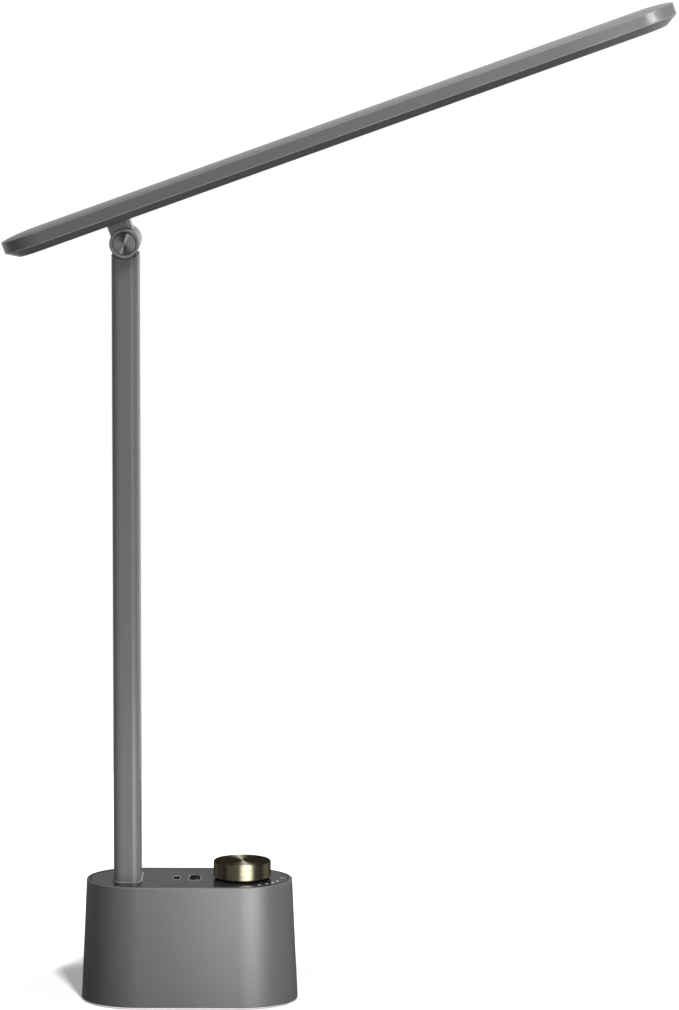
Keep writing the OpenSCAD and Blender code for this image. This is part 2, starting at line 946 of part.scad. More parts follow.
module head_bezel() {
    lip_r = inner_r - fit_gap;
    bottom_r = head_r - bevel_w;
    color(BODY_GREY)
        in_head()
            difference() {
                translate([head_x, 0, 0])
                    stadium_sweep(head_c)
                        polygon([[0, head_drop], [bottom_r, head_drop], [head_r, side_z0],
                                 [lip_r, side_z0], [lip_r, side_z0 + lip_h],
                                 [lip_r - lip_t, side_z0 + lip_h], [lip_r - lip_t, side_z0 - 0.4],
                                 [bottom_r - 0.6, head_drop + head_wall], [0, head_drop + head_wall]]);
                translate([window_x, 0, 0])
                    stadium_slab(window_c, window_r, head_drop - cut, side_z0);
                round_bar(foot_w + 2 * fit_gap, lug_d + 2 * fit_gap, 1.5, head_drop - cut, side_z0);
            }
}

module diffuser() {
    color(OPAL)
        in_head()
            translate([window_x, 0, 0])
                stadium_sweep(window_c)
                    polygon([[0, head_drop], [window_r - fit_gap, head_drop],
                             [window_r - fit_gap, head_drop + head_wall],
                             [window_r + lens_lip, head_drop + head_wall],
                             [window_r + lens_lip, lens_z1], [0, lens_z1]]);
}

module reflector_frame() {
    outer = window_r + lens_lip + 0.8;
    color(OPAL)
        in_head()
            translate([window_x, 0, 0])
                difference() {
                    stadium_slab(window_c, outer, lens_z1, led_board_z0);
                    stadium_sweep(window_c)
                        polygon([[0, lens_z1 - cut], [window_r + 0.4, lens_z1 - cut],
                                 [window_r + 0.4, lens_z1], [window_r - 1, led_board_z0],
                                 [window_r - 1, led_board_z0 + cut], [0, led_board_z0 + cut]]);
                }
}

module led_board() {
    color(STEEL)
        in_head()
            translate([window_x, 0, 0])
                stadium_slab(window_c, window_r + lens_lip + 0.8, led_board_z0, led_board_z1);
}

module led_chips() {
    pitch_y = window_w / (led_rows + 1);
    color(OPAL)
        in_head()
            for (i = [0:led_columns - 1], j = [0:led_rows - 1])
                translate([window_x - window_c + 2 * window_c * i / (led_columns - 1) - led_l / 2,
                           (j - (led_rows - 1) / 2) * pitch_y - led_w / 2,
                           led_board_z0 - led_t])
                    cube([led_l, led_w, led_t]);
}

base_shell();
top_plate();
bottom_cover();
cover_screws();
base_pad();
base_weight();
weight_screws();
main_board();
board_screws();
usb_a_shell();
usb_a_tongue();
usb_c_shell();
usb_c_tongue();
encoder_body();
encoder_plunger();
encoder_shaft();
knob_hub();
knob();
dc_inlet();
dc_pin();
inlet_nut();
post_socket();
socket_screws();
post_collar();
post_tube();
arm_cable();
hinge_yoke();
hinge_pin();
hinge_caps();
friction_washers();
head_lug();
lug_screws();
head_housing();
head_bezel();
diffuser();
reflector_frame();
led_board();
led_chips();
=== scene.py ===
# %% [markdown]
# # A folding desk lamp, finished
#
# The lamp's solids come ready made: a base with two charging ports and a knob, a post, and a
# slim head on a friction hinge. This lesson dresses them. It gives every part a finish made
# from shader nodes, adds the thin pieces that a solid model leaves out, and lights the lamp.
#
# Every length is in metres, as Blender has it. The front of the lamp faces -Y.

# %% Load the lamp
import json
import math

import bpy
import bmesh
from mathutils import Matrix, Vector


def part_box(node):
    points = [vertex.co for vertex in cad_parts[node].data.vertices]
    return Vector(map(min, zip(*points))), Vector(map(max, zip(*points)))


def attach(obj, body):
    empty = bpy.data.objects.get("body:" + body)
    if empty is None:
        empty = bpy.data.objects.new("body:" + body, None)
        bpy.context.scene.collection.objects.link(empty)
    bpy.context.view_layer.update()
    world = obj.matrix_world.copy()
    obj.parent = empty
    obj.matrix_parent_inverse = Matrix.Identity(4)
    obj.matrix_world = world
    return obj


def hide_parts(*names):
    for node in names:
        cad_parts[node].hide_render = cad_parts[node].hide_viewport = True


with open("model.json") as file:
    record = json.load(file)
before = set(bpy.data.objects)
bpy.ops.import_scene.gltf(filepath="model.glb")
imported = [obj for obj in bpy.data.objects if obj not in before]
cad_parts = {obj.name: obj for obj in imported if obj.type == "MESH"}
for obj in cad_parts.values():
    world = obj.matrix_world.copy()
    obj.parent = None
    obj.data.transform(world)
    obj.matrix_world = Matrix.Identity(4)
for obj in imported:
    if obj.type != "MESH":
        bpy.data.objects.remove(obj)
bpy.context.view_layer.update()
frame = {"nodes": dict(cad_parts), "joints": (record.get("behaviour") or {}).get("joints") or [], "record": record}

nodes = frame["nodes"]

# %% [markdown]
# ## Where things are
#
# Pieces made later have to sit on the parts that carry them. Their places could be typed in,
# but then they would be wrong as soon as a part changed. So they are measured from the parts'
# own boxes, and the hinge's axis comes from its joint. Only the head's slope and the height of
# its parting line are given as numbers, because no box shows them.

# %% Measure the places that later cells use
def middle(name):
    low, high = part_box(name)
    return (low + high) / 2


joints = {joint["name"]: joint for joint in frame["joints"]}
HINGE = Vector(joints["head_tilt"]["pos_m"])
KNOB = middle("knob")
PORT_A = middle("usb_a_shell")
PORT_C = middle("usb_c_shell")
PLATE_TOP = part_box("top_plate")[1].z
PLATE_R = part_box("top_plate")[1].y                  # radius of the plate's round ends
PLATE_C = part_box("top_plate")[1].x - PLATE_R        # how far out their centres are
RIM_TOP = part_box("base_shell")[1].z
YOKE_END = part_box("hinge_yoke")[1].y
HEAD_SLOPE = math.radians(19.8)
HEAD_SEAM = 0.0164                                  # from the hinge's axis, square to the head
print("hinge axis at", [round(v, 4) for v in HINGE], "plate's face at", round(PLATE_TOP, 4))

# %% [markdown]
# ## Shader maths that reads as sums
#
# A finish is a little network: noises and distances are added, scaled and clipped until they
# make a mask. Wired by hand, each step takes three lines. This class wraps one socket, so that
# `1 - mask * 0.2` adds the Math nodes by itself.

# %% A socket that can be calculated with
class Shade:
    """One socket of a node tree, with the arithmetic that the finishes use."""

    def __init__(self, tree, socket):
        self.tree, self.socket = tree, socket

    def _math(self, operation, first, second):
        return self.tree.node("ShaderNodeMath", {"operation": operation}, {0: first, 1: second})

    def __add__(self, other):
        return self._math("ADD", self, other)

    def __radd__(self, other):
        return self._math("ADD", other, self)

    def __sub__(self, other):
        return self._math("SUBTRACT", self, other)

    def __rsub__(self, other):
        return self._math("SUBTRACT", other, self)

    def __mul__(self, other):
        return self._math("MULTIPLY", self, other)

    def __rmul__(self, other):
        return self._math("MULTIPLY", other, self)

    def __abs__(self):
        return self._math("ABSOLUTE", self, 0.0)

    def at_least(self, lowest):
        return self._math("MAXIMUM", self, lowest)

    def output(self, name):
        """Another output of the node that this socket belongs to."""
        return Shade(self.tree, self.socket.node.outputs[name])


print("sockets can be added, subtracted and multiplied")

# %% [markdown]
# ## One way to add any other node
#
# `node` takes a node's type, its settings, and what goes into its sockets. The settings are
# made first, because some of them, such as a Mix node's data type, change which sockets count.
# The short methods below it are the handful of nodes that the finishes use again and again:
# a noise of a known size, a soft step, a mix of two colours, and sums of whole vectors.

# %% A node tree that builds itself from short calls
MIX_FIRST, MIX_SECOND, MIX_COLOUR = 6, 7, 2         # a Mix node's colour sockets, by number


class Tree:
    """A material's or the world's node tree."""

    def __init__(self, owner):
        owner.use_nodes = True
        self.owner = owner
        self.nodes = owner.node_tree.nodes
        self.links = owner.node_tree.links
        self._place = None

    def plug(self, socket, value):
        """Links a socket, or sets its plain value."""
        if isinstance(value, Shade):
            self.links.new(value.socket, socket)
        else:
            socket.default_value = value

    def node(self, kind, settings=None, inputs=None, output=0):
        """A new node of any kind. What comes back is the output named or numbered."""
        made = self.nodes.new(kind)
        for name, value in (settings or {}).items():
            setattr(made, name, value)
        for key, value in (inputs or {}).items():
            self.plug(made.inputs[key], value)
        return Shade(self, made.outputs[output]) if len(made.outputs) else None

    def place(self):
        """The point being shaded, in metres, on the lamp at rest."""
        if self._place is None:
            self._place = self.node("ShaderNodeTexCoord", output="Object")
        return self._place

    def axis(self, name, vector=None):
        """One coordinate, X, Y or Z, of a vector or of the point being shaded."""
        return self.node("ShaderNodeSeparateXYZ", {}, {0: vector or self.place()}, name)

    def vector(self, operation, first, second=None, output="Vector"):
        """Arithmetic on whole vectors. A length or a dot product is the output Value."""
        inputs = {0: first} if second is None else {0: first, 1: second}
        return self.node("ShaderNodeVectorMath", {"operation": operation}, inputs, output)

    def stretch(self, factors, turn=(0.0, 0.0, 0.0)):
        """The shaded point with each axis scaled, for noise drawn out in one direction."""
        return self.node("ShaderNodeMapping", {}, {
            "Vector": self.place(), "Rotation": turn, "Scale": factors})

    def noise(self, size, detail=2.0, roughness=0.5, at=None):
        """Soft random values round 0.5, with features of about that size in metres."""
        return self.node("ShaderNodeTexNoise", {}, {
            "Vector": at or self.place(), "Scale": 1 / size, "Detail": detail,
            "Roughness": roughness}, "Fac")

    def clip(self, value, start, end):
        """A soft step: 0 on the start's side, 1 on the end's, whichever of them is lower."""
        return self.node("ShaderNodeMapRange", {"interpolation_type": "SMOOTHSTEP"}, {
            "Value": value, "From Min": start, "From Max": end}, "Result")

    def tint(self, mask, first, second):
        """A colour that goes from first to second as the mask goes from 0 to 1."""
        return self.node("ShaderNodeMix", {"data_type": "RGBA"}, {
            0: mask, MIX_FIRST: first, MIX_SECOND: second}, MIX_COLOUR)


print("shader helpers are ready")

# %% [markdown]
# ## From a tree to a finish
#
# A finish is one Principled shader. Values that are the same all over go straight onto its
# sockets. Relief could be modelled, but orange peel and grain are far too fine for that, so
# they go through a Bump node. A Bevel node ahead of it rounds every hard edge by a fraction of
# a millimetre, because no moulded or painted edge is truly sharp.

# %% Start a finish, and give it relief
def feed(tree, **sockets):
    """Sets or links sockets of the Principled shader. An underscore stands for a space."""
    for name, value in sockets.items():
        tree.plug(tree.nodes["Principled BSDF"].inputs[name.replace("_", " ")], value)


def new_finish(name, **sockets):
    """A material with one Principled shader, and the plain values of its sockets."""
    tree = Tree(bpy.data.materials.new(name))
    feed(tree, **sockets)
    return tree


def relief(tree, height, depth, strength, edge=None):
    """Relief of a map whose 0 to 1 is depth metres, over edges rounded by edge metres."""
    inputs = {"Height": height, "Distance": depth, "Strength": strength}
    if edge:
        inputs["Normal"] = tree.node("ShaderNodeBevel", {"samples": 6}, {"Radius": edge})
    feed(tree, Normal=tree.node("ShaderNodeBump", {}, inputs))


def grey(level):
    return (level, level, level, 1.0)


def scaled(colour, factor):
    """A colour made darker or lighter, with its alpha."""
    return tuple(min(1.0, part * factor) for part in colour) + (1.0,)


print("finish helpers are ready")

# %% [markdown]
# ## Satin body paint
#
# The post, the hinge and the housings wear coats of one mid-grey satin paint. The base's coat
# is set darker, as painted shade against the near lamp that lights its front, and the hinge's
# lighter, as painted light on its barrel and lug. Sprayed paint is never quite even: it has a
# fine orange peel, and its tone and gloss drift a little over a hand's width. One flat colour
# would look like bare plastic, so noises of different size make these, each kept faint.
#
# Three details need no mesh of their own, because each sits at a known place: a mask of
# position finds it and changes the tone there. A hair of much lighter paint on the head's
# parting line is a painted highlight, for the light that its rounded edge catches. The narrow
# land on top of the base's wall is dull, and painted dark as the shade of the gap beside the
# plate. The end faces of the hinge's barrel are painted darker than the barrel's lit side, as
# painted shade.

# %% Masks for the details of the paint
def seam_highlight(paint):
    """1 on the head's parting line, for an unevenly bright painted highlight along its rounded edge."""
    upward = (-math.sin(HEAD_SLOPE), 0.0, math.cos(HEAD_SLOPE))
    from_hinge = paint.vector("SUBTRACT", paint.place(), tuple(HINGE))
    rise = paint.vector("DOT_PRODUCT", from_hinge, upward, "Value")
    line = 1 - paint.clip(abs(rise - HEAD_SEAM), 0.0001, 0.00035)
    return line * (paint.noise(0.02, 1.0) * 0.3 + 0.7)


def rim_land(paint):
    """1 on the land that runs round the plate, on top of the base's wall."""
    return paint.clip(paint.axis("Z"), RIM_TOP - 0.0004, RIM_TOP - 0.0001)


def barrel_ends(paint):
    """1 on both end faces of the hinge's barrel."""
    return paint.clip(abs(paint.axis("Y")), YOKE_END - 0.0009, YOKE_END - 0.0005)


print("seam at", HEAD_SEAM, "land at", round(RIM_TOP, 4), "barrel ends at", round(YOKE_END, 4))

# %% Body paint
TONE_SIZE, GRAIN_SIZE, PEEL_SIZE = 0.045, 0.0007, 0.0021
PAINT_EDGE = 0.0005
# The painted shade on the land beside the plate.
LAND_SHADE = grey(0.02)


def body_paint(name, level, gloss, peel=0.00002, bend=1.5, seam=False, land=False, ends=False):
    """Satin paint: its grey level, its roughness and how deep its orange peel is.

    Bend is the index of refraction: a higher one mirrors more. The last three add a detail.
    """
    paint = new_finish(name, IOR=bend)
    drift = paint.noise(TONE_SIZE, 1.0)
    grain = paint.noise(GRAIN_SIZE, 2.0, 0.6)
    colour = paint.tint(drift * 0.7 + grain * 0.3, grey(level * 0.94), grey(level * 1.06))
    rough = drift * 0.07 + grain * 0.05 + (gloss - 0.06)
    # Painted highlight: a hair of much lighter paint on the parting line stands for the light that its rounded
    # edge catches.
    if seam:
        colour = paint.tint(seam_highlight(paint) * 0.9, colour, grey(level * 3.4))
    if land:
        dull = rim_land(paint)
        # Painted shade: the land is darkened as the shadow of the gap beside the plate; its extra roughness is its
        # own dullness.
        colour = paint.tint(dull * 0.5, colour, LAND_SHADE)
        rough = rough + dull * 0.45
    if ends:
        # Painted shade: the barrel's end faces get a darker grey than its lit side, which the hinge's lighter coat
        # stands for.
        colour = paint.tint(barrel_ends(paint), colour, grey(level * 0.62))
    feed(paint, Base_Color=colour, Roughness=rough)
    relief(paint, grain * 0.5 + paint.noise(PEEL_SIZE, 1.0), peel, 0.6, PAINT_EDGE)
    return paint.owner


# One paint in five coats: the base's lower level is painted shade against the near lamp, and the hinge's higher
# level is painted light on its barrel and lug.
satin_post = body_paint("satin_post_paint", 0.122, 0.38)
satin_head = body_paint("satin_head_paint", 0.099, 0.38, seam=True)
satin_base_shaded = body_paint("satin_base_paint_shaded", 0.079, 0.44, peel=0.00003, bend=1.8, land=True)
satin_hinge_lit = body_paint("satin_hinge_paint_lit", 0.250, 0.30, bend=1.7, ends=True)
satin_trim = body_paint("satin_trim_paint", 0.200, 0.32)
print("five coats of body paint")

# %% [markdown]
# ## Gloss black plate
#
# The base's top is a polished black moulding. Its colour is nearly nothing: what the eye sees
# is the reflection, and how fingers have dulled it. A darker or lighter black wouldn't show
# that, so the detail goes into the roughness: soft smudges, hair-fine wiping scratches along
# the plate, and a dull border where the mould's polish ends.

# %% Plate gloss
SMUDGE_SIZE, SCRATCH_WIDTH, DUST_SIZE = 0.011, 0.001, 0.0009
WIPE_STRETCH, WIPE_TURN = (0.06, 1.6, 1.0), (0.0, 0.0, 0.35)

plate = new_finish("gloss_black_plate", IOR=1.5)
smudge = plate.clip(plate.noise(SMUDGE_SIZE, 3.0, 0.6), 0.5, 0.75)
wiped = plate.noise(SCRATCH_WIDTH, 1.0, at=plate.stretch(WIPE_STRETCH, WIPE_TURN))
scratch = plate.clip(wiped, 0.66, 0.72)
dust = plate.clip(plate.noise(DUST_SIZE, 0.0), 0.74, 0.78)
black = plate.tint(smudge * 0.5, grey(0.012), grey(0.018))
print("plate's wear:", SMUDGE_SIZE, SCRATCH_WIDTH, DUST_SIZE, "metres across")

# %% The plate's border, and its shader
# The plate is a bar with round ends. Past the ends' centres only the rest of X counts, so one
# length gives the distance from the middle line all the way round.
spot = plate.axis("X")
past = (abs(spot) - PLATE_C).at_least(0.0)
reach = plate.node("ShaderNodeCombineXYZ", {}, {"X": past, "Y": spot.output("Y")})
border = plate.clip(plate.vector("LENGTH", reach, output="Value"),
                    PLATE_R - 0.0011, PLATE_R - 0.0007)
feed(plate, Base_Color=plate.tint(dust * 0.5, black, grey(0.16)),
     Roughness=smudge * 0.10 + scratch * 0.08 + 0.045 + border * 0.5)
relief(plate, plate.noise(0.03, 1.0), 0.00003, 0.25, 0.0002)
gloss_black = plate.owner
print("plate:", gloss_black.name)

# %% [markdown]
# ## Spun bronze knob
#
# The knob's cap is turned on a lathe and anodised a champagne bronze. The tool leaves rings
# that run round the axis, on the top and on the side alike. They stretch each highlight across
# the rings, and that bow-tie is what says spun metal. Rings cut into the mesh would take
# thousands of faces, so Anisotropic on the shader does the stretching, and the rings
# themselves are a noise of radius and height.

# %% Spun metal, for the knob and for the hinge's caps
CLOUD_SIZE = 0.006
RING_DEPTH, METAL_EDGE = 0.000002, 0.00012
TURNED_ALONG_RINGS = 0.25


def spun_metal(name, colour, centre, rough, rings, pull, edge):
    """Metal turned about Z. Rings is the width of one tool mark in metres.

    Pull is how far the marks stretch a highlight. Edge is how much of the surroundings the
    metal keeps where it is seen at a slant.
    """
    metal = new_finish(name, Metallic=1.0, Anisotropic=pull,
                       Anisotropic_Rotation=TURNED_ALONG_RINGS, Specular_Tint=grey(edge))
    out = metal.vector("SUBTRACT", metal.place(), centre)
    flat = metal.vector("MULTIPLY", out, (1.0, 1.0, 0.0))
    radius = metal.vector("LENGTH", flat, output="Value")
    ring = metal.node("ShaderNodeCombineXYZ", {}, {"X": radius, "Y": metal.axis("Z", out)})
    marks = metal.noise(rings, 2.0, 0.65, at=ring)
    broad = metal.noise(rings * 9, 1.0, at=ring)
    cloud = metal.noise(CLOUD_SIZE)
    tone = metal.clip(marks * 0.55 + broad * 0.3 + cloud * 0.15, 0.3, 0.7)
    feed(metal, Base_Color=metal.tint(tone, scaled(colour, 0.78), scaled(colour, 1.12)),
         Roughness=marks * 0.12 + cloud * 0.05 + (rough - 0.08))
    relief(metal, marks, RING_DEPTH, 0.5, METAL_EDGE)
    return metal.owner


knob_bronze = spun_metal("spun_bronze", (0.35, 0.33, 0.237), centre=tuple(KNOB),
                         rough=0.36, rings=0.00016, pull=0.87, edge=0.12)
print("knob:", knob_bronze.name)

# %% [markdown]
# ## The plainer finishes
#
# Dark plastic, rubber, steel, light alloy, circuit board and opal plastic fill the ports, the
# underside and the inside. They are seen from close by when the lamp is turned over, so plain
# colours wouldn't do: each has its own texture, such as spark-eroded grain on plastic and a
# roll direction on steel. Two functions make them all, because they differ only in numbers.

# %% Plastics and rubber
def grained(name, level, rough, size, depth, speckle):
    """A moulded plastic or rubber with an eroded grain."""
    skin = new_finish(name)
    grain = skin.noise(size, 3.0, 0.7)
    drift = skin.noise(0.03, 1.0)
    tone = skin.clip(grain * 0.6 + drift * 0.4, 0.35, 0.65)
    feed(skin, Base_Color=skin.tint(tone, grey(level * (1 - speckle)), grey(level * (1 + speckle))),
         Roughness=grain * 0.12 + drift * 0.08 + (rough - 0.1))
    relief(skin, grain, depth, 0.7, 0.0003)
    return skin.owner


dark_moulding = grained("dark_moulding", 0.030, 0.48, size=0.0005, depth=0.00003, speckle=0.12)
pad_rubber = grained("pad_rubber", 0.028, 0.78, size=0.0008, depth=0.00006, speckle=0.2)
cable_skin = grained("cable_skin", 0.035, 0.5, size=0.0012, depth=0.00002, speckle=0.1)
# Painted highlight: the bead's light grey stands for the lit edge of each port's opening.
bead_highlight_grey = grained("bead_highlight_grey", 0.24, 0.4, size=0.0004, depth=0.00001, speckle=0.08)
# Painted shade: the ports' metal shells get this near-black grain, for the dark inside of the ports.
port_shade = grained("port_shade", 0.012, 0.5, size=0.0004, depth=0.00001, speckle=0.1)
tongue_grey = grained("tongue_grey", 0.14, 0.45, size=0.0004, depth=0.00001, speckle=0.08)
print("plastics:", dark_moulding.name, pad_rubber.name, cable_skin.name, bead_highlight_grey.name)

# %% Steel and light alloy
def rolled(name, colour, rough, lines):
    """Sheet or bar metal with the fine lines of rolling along X."""
    metal = new_finish(name, Metallic=1.0)
    drawn = metal.noise(lines, 2.0, 0.6, at=metal.stretch((0.05, 1.0, 1.0)))
    cloud = metal.noise(0.008)
    tone = metal.clip(drawn * 0.6 + cloud * 0.4, 0.3, 0.7)
    feed(metal, Base_Color=metal.tint(tone, scaled(colour, 0.86), scaled(colour, 1.08)),
         Roughness=drawn * 0.14 + cloud * 0.06 + (rough - 0.1))
    relief(metal, drawn, 0.00001, 0.5, 0.0002)
    return metal.owner


plain_steel = rolled("plain_steel", (0.56, 0.57, 0.59), 0.32, lines=0.0004)
light_alloy = rolled("light_alloy", (0.68, 0.69, 0.71), 0.36, lines=0.0006)
print("metals:", plain_steel.name, light_alloy.name)

# %% Circuit board, and the opal window
BOARD_DARK, BOARD_LIGHT = (0.012, 0.085, 0.04, 1.0), (0.03, 0.16, 0.08, 1.0)
OPAL_DARK, OPAL_LIGHT = (0.80, 0.80, 0.77, 1.0), (0.87, 0.87, 0.84, 1.0)
WEAVE_BANDS = 350.0

board = new_finish("board_green", Coat_Weight=0.4, Coat_Roughness=0.15)
weave = board.node("ShaderNodeTexWave", {"wave_type": "BANDS"}, {
    "Vector": board.place(), "Scale": WEAVE_BANDS, "Distortion": 1.5, "Detail": 2.0}, "Fac")
tracks = board.clip(board.noise(0.004, 0.0), 0.5, 0.53)
feed(board, Base_Color=board.tint(tracks * 0.6 + weave * 0.2, BOARD_DARK, BOARD_LIGHT),
     Roughness=weave * 0.1 + tracks * 0.08 + 0.32)
relief(board, tracks, 0.00004, 0.5, 0.0002)

opal = new_finish("opal_window", Subsurface_Weight=0.15, Subsurface_Scale=0.004)
frost = opal.noise(0.0004, 2.0, 0.6)
feed(opal, Base_Color=opal.tint(opal.noise(0.02, 1.0), OPAL_DARK, OPAL_LIGHT),
     Roughness=frost * 0.15 + 0.42)
relief(opal, frost, 0.00002, 0.5, 0.0003)
print("board and window:", board.owner.name, opal.owner.name)

# %% [markdown]
# ## Who wears which finish
#
# Thirty-eight parts could each be given a finish by hand, but the record of the solids already
# names a slot for each part. The slot says what the part is made of, so one table from slot to
# finish dresses all of them, and a second short table holds the few parts that differ, such as
# the ports' metal shells, painted near black as the shade inside the charging ports.

# %% Dress the parts
slot_finish = {
    "body_grey": satin_post, "moulded_grey": satin_base_shaded, "alloy_grey": satin_post,
    "gloss_black": gloss_black, "dark_plastic": dark_moulding, "rubber": pad_rubber,
    "bronze": knob_bronze, "steel": plain_steel, "alloy": light_alloy,
    "board": board.owner, "opal": opal.owner,
}
own_finish = {
    "head_housing": satin_head, "head_bezel": satin_head,
    "hinge_yoke": satin_hinge_lit, "head_lug": satin_hinge_lit, "post_collar": satin_trim,
    # The port shells wear painted shade.
    "usb_a_shell": port_shade, "usb_c_shell": port_shade, "usb_a_tongue": tongue_grey,
    "arm_cable": cable_skin,
}
for row in frame["record"]["subparts"]:
    name = row["node"]
    nodes[name].data.materials.clear()
    nodes[name].data.materials.append(own_finish.get(name) or slot_finish[row["material_slot"]])

# %% [markdown]
# ## Lathe-turned caps on the hinge
#
# Two spun caps close the hinge's barrel. A solid disc would do for their size, but the real
# ones are turned: a very shallow cone with a small flat at its middle and a rounded lip, and
# the lean of the cone's sides is what moves the rays of light on it. A profile turned round an
# axis gives all of it at once. It is made along Z and then laid along Y, so that the tool
# marks follow the piece's own axis.

# %% Turn a profile into a mesh, and a mesh into a piece
LATHE_STEPS = 96


def turned(mesh, profile):
    """Adds a surface of revolution about Z to a bmesh, from (radius, height) points."""
    around_axis = [2 * math.pi * i / LATHE_STEPS for i in range(LATHE_STEPS)]
    rings = []
    for radius, height in profile:
        angles = around_axis if radius else [0.0]
        rings.append([mesh.verts.new((radius * math.cos(a), radius * math.sin(a), height))
                      for a in angles])
    for inner, outer in zip(rings, rings[1:]):
        for i in range(LATHE_STEPS):
            j = (i + 1) % LATHE_STEPS
            corners = [inner[i % len(inner)], outer[i % len(outer)],
                       outer[j % len(outer)], inner[j % len(inner)]]
            mesh.faces.new(list(dict.fromkeys(corners)))    # a triangle where a ring is a point


def piece(name, mesh, finish, smooth=True):
    """A new object from a bmesh, in the lamp's frame."""
    data = bpy.data.meshes.new(name)
    bmesh.ops.recalc_face_normals(mesh, faces=mesh.faces)
    mesh.to_mesh(data)
    mesh.free()
    for face in data.polygons:
        face.use_smooth = smooth
    data.materials.append(finish)
    made = bpy.data.objects.new(name, data)
    bpy.context.scene.collection.objects.link(made)
    return made


print("the lathe turns in", LATHE_STEPS, "steps")

# %% The caps' profile
cap_low, cap_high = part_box("hinge_caps")
CAP_R = (cap_high.x - cap_low.x) / 2
CAP_HALF = (cap_high.y - cap_low.y) / 2             # from the middle of the hinge to a cap's face
CAP_T, SPIGOT_R, SPIGOT_T = 0.0014, 0.0029, 0.0008
CONE, LIP = 0.00045, 0.0004
cap_profile = [(0, 0), (0.0003, -0.00001)]
cap_profile += [(r, -CONE * r / CAP_R) for r in (0.0009, 0.002, 0.0035, 0.005, CAP_R - LIP)]
cap_profile += [(CAP_R - 0.00012, -CONE - 0.00004), (CAP_R, -CONE - 0.0002), (CAP_R, -CAP_T),
                (SPIGOT_R, -CAP_T), (SPIGOT_R, -CAP_T - SPIGOT_T), (0, -CAP_T - SPIGOT_T)]
print("cap:", round(2000 * CAP_R, 2), "mm across,", len(cap_profile), "points in its profile")

# %% Spin the two caps
cap_mesh = bmesh.new()
for side in (1, -1):
    turned(cap_mesh, [(r, side * (CAP_HALF + h)) for r, h in cap_profile])
cap_metal = spun_metal("spun_cap", (0.34, 0.34, 0.35), centre=(0.0, 0.0, 0.0),
                       rough=0.44, rings=0.00018, pull=0.96, edge=0.6)
spun_caps = piece("spun_caps", cap_mesh, cap_metal)
spun_caps.data.set_sharp_from_angle(angle=math.radians(35))
spun_caps.matrix_world = Matrix.Translation(HINGE) @ Matrix.Rotation(math.radians(90), 4, "X")
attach(spun_caps, "base")
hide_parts("hinge_caps")
print("caps:", len(spun_caps.data.vertices), "points")

# %% [markdown]
# ## Marks on the plate
#
# Four light dots follow the knob's rim, to show which light setting is on, and a small sun
# stands for brightness. They are windows and ink, about as thick as paint. A mask in the
# plate's finish could draw them, but they would blur in it. So each one is a low crowned pad
# that rises from just inside the plate to a few hundredths of a millimetre above it.

# %% Outlines, walls and low pads
PAD_SINK = 0.0002


def capsule_points(length, width, steps=10):
    """The outline of a flat bar with round ends, along X."""
    r, c = width / 2, max(0.0, length / 2 - width / 2)
    turn = [math.pi * (i / steps - 0.5) for i in range(steps + 1)]
    right = [(c + r * math.cos(a), r * math.sin(a)) for a in turn]
    return right + [(-x, -y) for x, y in right]


def walls(mesh, rings):
    """Joins each closed ring of points to the next with a band of faces."""
    for low, high in zip(rings, rings[1:]):
        for i in range(len(low)):
            j = (i + 1) % len(low)
            mesh.faces.new((low[i], low[j], high[j], high[i]))


def pad(mesh, outline, where, angle, rise):
    """A low pad with a rounded top edge, standing on the plate."""
    turn = Matrix.Translation(where) @ Matrix.Rotation(angle, 4, "Z")
    rings = [[mesh.verts.new(turn @ Vector((x * shrink, y * shrink, z))) for x, y in outline]
             for shrink, z in ((1.0, -PAD_SINK), (1.0, rise * 0.5), (0.9, rise))]
    walls(mesh, rings)
    mesh.faces.new(rings[-1])
    mesh.faces.new(rings[0][::-1])


print("a dot's outline has", len(capsule_points(0.0021, 0.0011)), "points")

# %% Milky windows and ink
def faint(name, dark, light, size, detail, roughness, gloss, depth, strength, **sockets):
    """A small bright mark whose tone and gloss vary with one fine noise."""
    mark = new_finish(name, **sockets)
    fleck = mark.noise(size, detail, roughness)
    feed(mark, Base_Color=mark.tint(fleck, grey(dark), grey(light)),
         Roughness=fleck * 0.2 + gloss)
    relief(mark, fleck, depth, strength)
    return mark.owner


dot_glass = faint("indicator_dots", 0.52, 0.62, 0.0006, 1.0, 0.5, gloss=0.3,
                  depth=0.00001, strength=0.4, Coat_Weight=0.5)
mark_ink = faint("mark_ink", 0.44, 0.54, 0.0003, 2.0, 0.7, gloss=0.42,
                 depth=0.000008, strength=0.5)
print("marks:", dot_glass.name, mark_ink.name)

# %% Indicator dots
DOT_RING, DOT_LONG, DOT_WIDE, DOT_RISE = 0.0222, 0.0021, 0.0011, 0.00005


def round_knob(degrees, radius):
    """A point on the plate, at an angle and a distance from the knob's axis."""
    turn = math.radians(degrees)
    return Vector((KNOB.x + radius * math.cos(turn), KNOB.y + radius * math.sin(turn), PLATE_TOP))


dots = bmesh.new()
for degrees in (-63, -50, -37, -24):
    pad(dots, capsule_points(DOT_LONG, DOT_WIDE), round_knob(degrees, DOT_RING),
        math.radians(degrees + 90), DOT_RISE)
light_dots = piece("light_dots", dots, dot_glass)
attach(light_dots, "base")
print("dots:", len(light_dots.data.polygons), "faces")

# %% The sun mark
SUN_AT, SUN_WIDE, SUN_RISE = round_knob(-1, 0.0232), 0.0011, 0.00003
RAY_COUNT, RAY_RING, RAY_LONG, RAY_WIDE = 8, 0.00125, 0.0006, 0.00022

